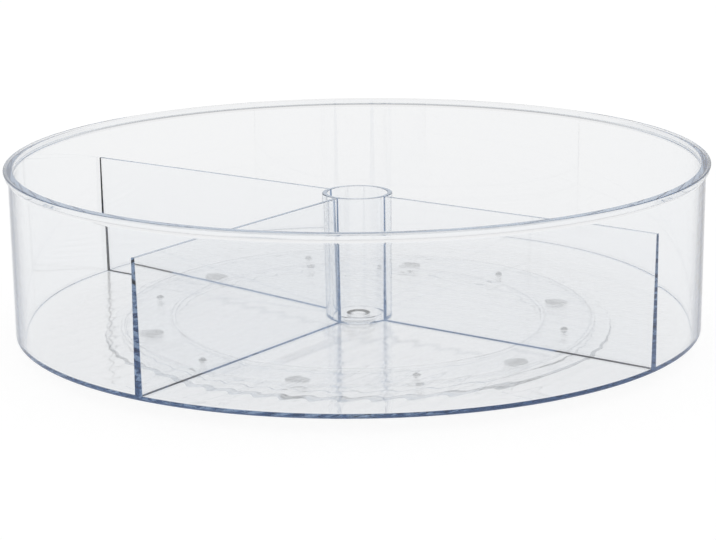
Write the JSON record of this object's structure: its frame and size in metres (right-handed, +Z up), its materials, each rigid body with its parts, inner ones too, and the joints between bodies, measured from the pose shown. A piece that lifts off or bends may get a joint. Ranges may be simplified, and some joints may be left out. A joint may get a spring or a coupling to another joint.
{
  "type": "divided turntable",
  "caption": "Round clear plastic turntable for a pantry shelf: an open tray with a beaded rim, ribbed floor, hub tube and radial dividers, turning on a low ball-bearing base.",
  "frame": {"origin": "on the table under the pivot, at the centre of the bottom of the bounding box", "axes": "+Z up along the pivot; -Y towards the viewer of the picture; +X to the viewer's right"},
  "size_m": [0.3556, 0.3556, 0.0926],
  "materials": {
    "tray_plastic": "clear, polished as moulded, faint blue in its thickness",
    "base_plastic": "clear, polished as moulded",
    "cage_plastic": "clear, smooth",
    "ball_acetal": "natural white, polished",
    "foot_silicone": "translucent, satin"
  },
  "bodies": {
    "base": {"base_plate": "base_plastic", "pivot_pin": "base_plastic", "foot_1": "foot_silicone", "foot_2": "foot_silicone", "foot_3": "foot_silicone", "foot_4": "foot_silicone", "foot_5": "foot_silicone", "foot_6": "foot_silicone"},
    "turntable": {"tray": "tray_plastic", "hub_tube": "tray_plastic", "divider_rear_left": "tray_plastic", "divider_front_left": "tray_plastic", "divider_right": "tray_plastic"},
    "cage": {"ball_cage": "cage_plastic"},
    "rolling_ball_1": {"ball_1": "ball_acetal"},
    "rolling_ball_2": {"ball_2": "ball_acetal"},
    "rolling_ball_3": {"ball_3": "ball_acetal"},
    "rolling_ball_4": {"ball_4": "ball_acetal"},
    "rolling_ball_5": {"ball_5": "ball_acetal"},
    "rolling_ball_6": {"ball_6": "ball_acetal"}
  },
  "joints": [
    {"name": "tray_spin", "type": "hinge", "parent": "base", "child": "turntable", "pos_m": [0, 0, 0.0071], "axis": [0, 0, 1], "continuous": true},
    {"name": "cage_spin", "type": "hinge", "parent": "base", "child": "cage", "pos_m": [0, 0, 0.00505], "axis": [0, 0, 1], "continuous": true},
    {"name": "ball_1_roll", "type": "hinge", "parent": "cage", "child": "rolling_ball_1", "pos_m": [0.07703, 0.0757, 0.00505], "axis": [0.7133, 0.7009, 0], "continuous": true},
    {"name": "ball_2_roll", "type": "hinge", "parent": "cage", "child": "rolling_ball_2", "pos_m": [-0.02704, 0.10456, 0.00505], "axis": [-0.2504, 0.9681, 0], "continuous": true},
    {"name": "ball_3_roll", "type": "hinge", "parent": "cage", "child": "rolling_ball_3", "pos_m": [-0.10407, 0.02886, 0.00505], "axis": [-0.9636, 0.2672, 0], "continuous": true},
    {"name": "ball_4_roll", "type": "hinge", "parent": "cage", "child": "rolling_ball_4", "pos_m": [-0.07703, -0.0757, 0.00505], "axis": [-0.7133, -0.7009, 0], "continuous": true},
    {"name": "ball_5_roll", "type": "hinge", "parent": "cage", "child": "rolling_ball_5", "pos_m": [0.02704, -0.10456, 0.00505], "axis": [0.2504, -0.9681, 0], "continuous": true},
    {"name": "ball_6_roll", "type": "hinge", "parent": "cage", "child": "rolling_ball_6", "pos_m": [0.10407, -0.02886, 0.00505], "axis": [0.9636, -0.2672, 0], "continuous": true}
  ],
  "couplings": [
    {"joint": "cage_spin", "follows": "tray_spin", "ratio": 0.5},
    {"joint": "ball_1_roll", "follows": "tray_spin", "ratio": -27},
    {"joint": "ball_2_roll", "follows": "tray_spin", "ratio": -27},
    {"joint": "ball_3_roll", "follows": "tray_spin", "ratio": -27},
    {"joint": "ball_4_roll", "follows": "tray_spin", "ratio": -27},
    {"joint": "ball_5_roll", "follows": "tray_spin", "ratio": -27},
    {"joint": "ball_6_roll", "follows": "tray_spin", "ratio": -27}
  ]
}
